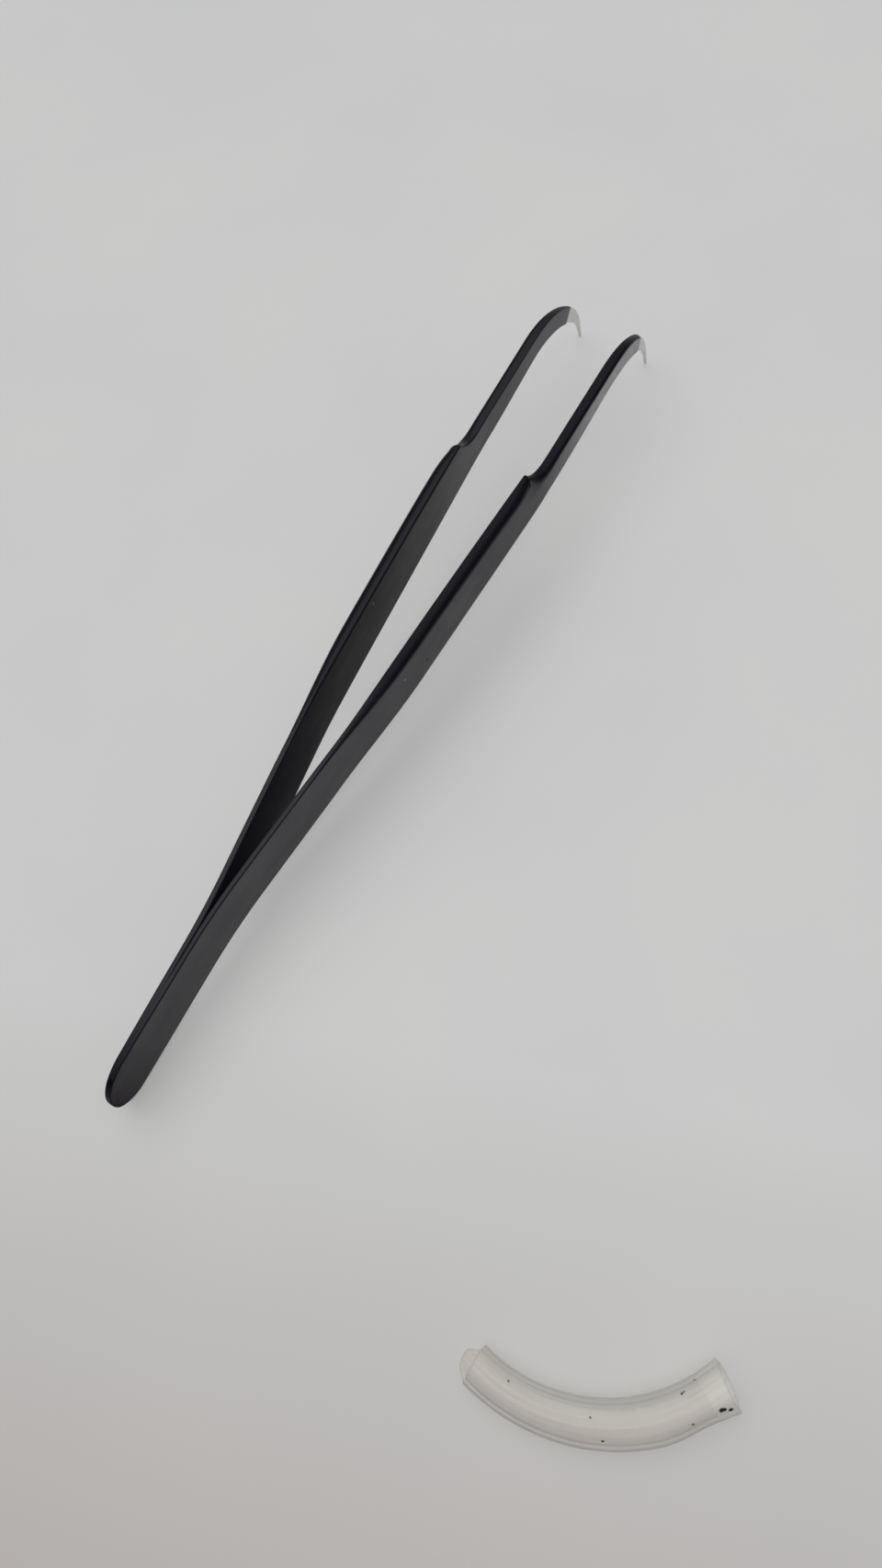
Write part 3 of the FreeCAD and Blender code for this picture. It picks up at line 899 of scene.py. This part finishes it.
def pinched_cut(angle):
    """How far the pinched end is cut back, this far around the tube.

    The side outside the bend is shorter, and a lip stands out underneath with one steep side."""
    from_lip = math.remainder(math.degrees(angle) - LIP_ANGLE, 360)
    lip = math.exp(-(from_lip / LIP_REACH[from_lip > 0]) ** 4)
    slant = math.cos(angle / 2 - SLANT_TURN) ** 4
    ragged = noise.noise(Vector((math.cos(angle), math.sin(angle), RAGGED_CUT_SEED)))
    return PINCHED_SLANT * slant - LIP_LENGTH * lip + RAGGED_CUT * ragged


def open_cut(angle):
    """How far the open end is cut back: the side outside the bend and the top are shorter."""
    return OPEN_SLANT * (1 + math.cos(angle)) + OPEN_TOP_SLANT * math.sin(angle)


def outside_dent(from_end, angle):
    """How far the side outside the bend sinks in before the open end, where it flares again."""
    dent = DENT_DEPTH * math.exp(-((from_end - DENT_FROM_END) / DENT_WIDTH) ** 2)
    flare = FLARE * max(0.0, 1 - from_end / FLARE_REACH) ** 2
    return (dent - flare) * max(0.0, math.cos(angle))


def tube_walk():
    """Once around the tube's wall: (share of the length, depth in the wall), from the pinched end
    out along the outside, over the open rim, back inside and over the pinched rim."""
    outside = [(share, 0.0) for share in steps(0, 1, 1 / TUBE_STEPS)] + [(1.0, 0.0)]
    walk = outside + [(1 + out / GUARD_LENGTH, wall * GUARD_WALL) for out, wall in ROUNDED_CUT]
    walk += [(share, GUARD_WALL) for share, _ in reversed(outside)]
    return walk + [(-out / GUARD_LENGTH, (1 - wall) * GUARD_WALL) for out, wall in ROUNDED_CUT]


def tube_spot(centre, share, sunk, angle):
    """A point of the tube in millimetres, and its place as the material reads it."""
    outside = guard_radius(max(0.0, min(1.0, share)))
    from_end = (1 - share) * GUARD_LENGTH
    crease = math.exp(-((from_end - CREASE_FROM_END) / CREASE_WIDTH) ** 2)
    radius = outside - sunk - CREASE_DEPTH * crease
    pinch = max(0.0, 1 - share / PINCH_PART) ** 2
    wide = radius * (1 + PINCH_WIDER * pinch)
    tall = radius * (1 - PINCH_FLATTER * pinch)
    at_pinched = max(0.0, 1 - share / CUT_PART)
    at_open = max(0.0, 1 - (1 - share) / CUT_PART)
    along = share * GUARD_LENGTH + pinched_cut(angle) * at_pinched - open_cut(angle) * at_open
    turn = math.radians(GUARD_HEADING) + along / GUARD_BEND
    from_axis = GUARD_BEND + wide * math.cos(angle) - outside_dent(from_end, angle)
    height = outside * (1 - PINCH_FLATTER * pinch) + tall * math.sin(angle)
    point = centre + Vector((from_axis * math.cos(turn), from_axis * math.sin(turn), height))
    return point, (along, math.degrees(angle) * AROUND_SCALE, sunk)


def guard_tube():
    """The bent tube: outer wall, open rim, inner wall and pinched rim as one closed skin."""
    low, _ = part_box("tip_guard")
    reach = MM * (GUARD_BEND + GUARD_RADIUS)
    end_turn = math.radians(GUARD_HEADING + GUARD_TURN)
    centre = Vector((low.x + reach, low.y - reach * math.sin(end_turn), 0)) / MM
    turns = [2 * math.pi * k / TUBE_SIDES for k in range(TUBE_SIDES)]
    walk = tube_walk()
    spots = [tube_spot(centre, share, sunk, angle) for share, sunk in walk for angle in turns]
    faces = []
    for i in range(len(walk)):
        for k in range(TUBE_SIDES):
            a, b = i * TUBE_SIDES + k, i * TUBE_SIDES + (k + 1) % TUBE_SIDES
            c, d = (a + TUBE_SIDES) % len(spots), (b + TUBE_SIDES) % len(spots)
            faces.append((a, c, d, b))
    mesh = bpy.data.meshes.new("tip_guard_tube")
    mesh.from_pydata([MM * point for point, _ in spots], [], faces)
    store(mesh, "place", "FLOAT_VECTOR", [value for _, place in spots for value in place])
    finish_mesh(mesh)
    tube = linked(bpy.data.objects.new("tip_guard_tube", mesh))
    tube.data.materials.append(milky_vinyl())
    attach(tube, "guard")
    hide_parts("tip_guard")


# ---- surroundings ----------------------------------------------------------------------

# the camera: places in millimetres, angles in degrees
CAMERA_PLACE = (-36.0, -16.9, 144.3)
CAMERA_AIM = (-4.8, 22.7, 0.0)
CAMERA_ROLL = -21.5
FIELD_OF_VIEW = 66.03
NEAREST_SEEN = 5.0

# the floor, in metres, and its colours
FLOOR_SIZE = 1.6
FLOOR_DARK = (0.665, 0.675, 0.665, 1)
FLOOR_LIGHT = (0.69, 0.695, 0.68, 1)
# painted shade on the floor, in a band beyond the tail
PAINTED_FLOOR_SHADE = (0.52, 0.49, 0.475, 1)
TOWARD_TAIL = (-0.93, -0.35, 0)
SHADE_RISE, SHADE_FALL = (0.030, 0.095), (0.11, 0.4)

# the room's light in each direction, as (dimmest, brightest), and where it rises upward
TAIL_TO_TIPS = (0.5, 1.2)
RIGHT_TO_LEFT = (0.6, 1.35)
LOW_TO_HIGH = (0.05, 0.40)
RISING_FROM_TO = (0.25, 0.9)
# how bright the camera sees the walls, and the colour of the whole room
WALL_BRIGHTNESS = 0.55
ROOM_COLOUR = (0.985, 0.975, 1.0, 1)


def pale_floor():
    """A pale table top with faint smudges and painted shade in a band beyond the tail."""
    n = Nodes(bpy.data.materials.new("pale_table"))
    place = n.add("ShaderNodeNewGeometry").outputs["Position"]
    smudges = n.noise(place, 28.0, 2.0)
    colour = n.mix(n.remap(smudges, 0.35, 0.7), FLOOR_DARK, FLOOR_LIGHT)
    toward_tail = n.add("ShaderNodeVectorMath", {0: place, 1: TOWARD_TAIL}, operation="DOT_PRODUCT")
    # painted shade: a darker, warmer band beyond the tail
    floor_shade = n.band(toward_tail.outputs["Value"], SHADE_RISE, SHADE_FALL)
    material = n.finish("Principled BSDF", {
        "Base Color": n.mix(floor_shade, colour, PAINTED_FLOOR_SHADE),
        "Roughness": 0.6,
        "Specular IOR Level": 0.3,
    })
    mesh = bpy.data.meshes.new("floor")
    half = FLOOR_SIZE / 2
    corners = [(-half, -half, 0), (half, -half, 0), (half, half, 0), (-half, half, 0)]
    mesh.from_pydata(corners, [], [(0, 1, 2, 3)])
    mesh.materials.append(material)
    floor = linked(bpy.data.objects.new("floor", mesh))


def room_light():
    """A soft room: brighter overhead, toward the tips and on the left, with pale walls in view."""
    world = bpy.data.worlds.new("room")
    bpy.context.scene.world = world
    n = Nodes(world)
    x, y, z = n.split(n.add("ShaderNodeTexCoord").outputs["Generated"])
    strength = n.times(
        n.remap(x, -1.0, 1.0, *TAIL_TO_TIPS),
        n.remap(y, -1.0, 1.0, *RIGHT_TO_LEFT),
        n.remap(z, *RISING_FROM_TO, *LOW_TO_HIGH),
    )
    seen = n.times(n.add("ShaderNodeLightPath").outputs["Is Camera Ray"], WALL_BRIGHTNESS)
    n.finish("Background", {"Color": ROOM_COLOUR, "Strength": n.math("MAXIMUM", strength, seen)})


def soft_light(name, source, spread, strength, shadows=True):
    """Even light from a wide patch of the room, which never shows in a reflection."""
    light = bpy.data.lights.new(name, "SUN")
    light.angle = math.radians(spread)
    light.energy = strength
    light.use_shadow = shadows
    holder = linked(bpy.data.objects.new(name, light))
    holder.rotation_euler = (-Vector(source)).to_track_quat("-Z", "Y").to_euler()
    holder.visible_glossy = False


def camera():
    lens = bpy.data.cameras.new("camera")
    lens.sensor_fit = "VERTICAL"
    lens.angle = math.radians(FIELD_OF_VIEW)
    lens.clip_start = MM * NEAREST_SEEN
    holder = linked(bpy.data.objects.new("camera", lens))
    place, aim = MM * Vector(CAMERA_PLACE), MM * Vector(CAMERA_AIM)
    turn = (aim - place).to_track_quat("-Z", "Y").to_matrix()
    turn = turn @ Matrix.Rotation(math.radians(CAMERA_ROLL), 3, "Z")
    holder.matrix_world = Matrix.Translation(place) @ turn.to_4x4()
    bpy.context.scene.camera = holder


# ---- the scene -------------------------------------------------------------------------

coating("left_strip_coating", 1, ["left_coating", "tail_coating"])
coating("right_strip_coating", -1, ["right_coating", "tail_coating"])
steel_strip("left_strip_steel", 1, ["left_tail", "left_arm", "tail_welds"])
steel_strip("right_strip_steel", -1, ["right_tail", "right_arm", "tail_welds"])
guard_tube()

pale_floor()
room_light()
soft_light("ceiling", source=(0.08, 0.25, 1.0), spread=70, strength=0.65)
soft_light("fill", source=(0.1, 0.1, 1.0), spread=60, strength=1.38, shadows=False)
camera()
bpy.context.scene.view_settings.view_transform = "Standard"
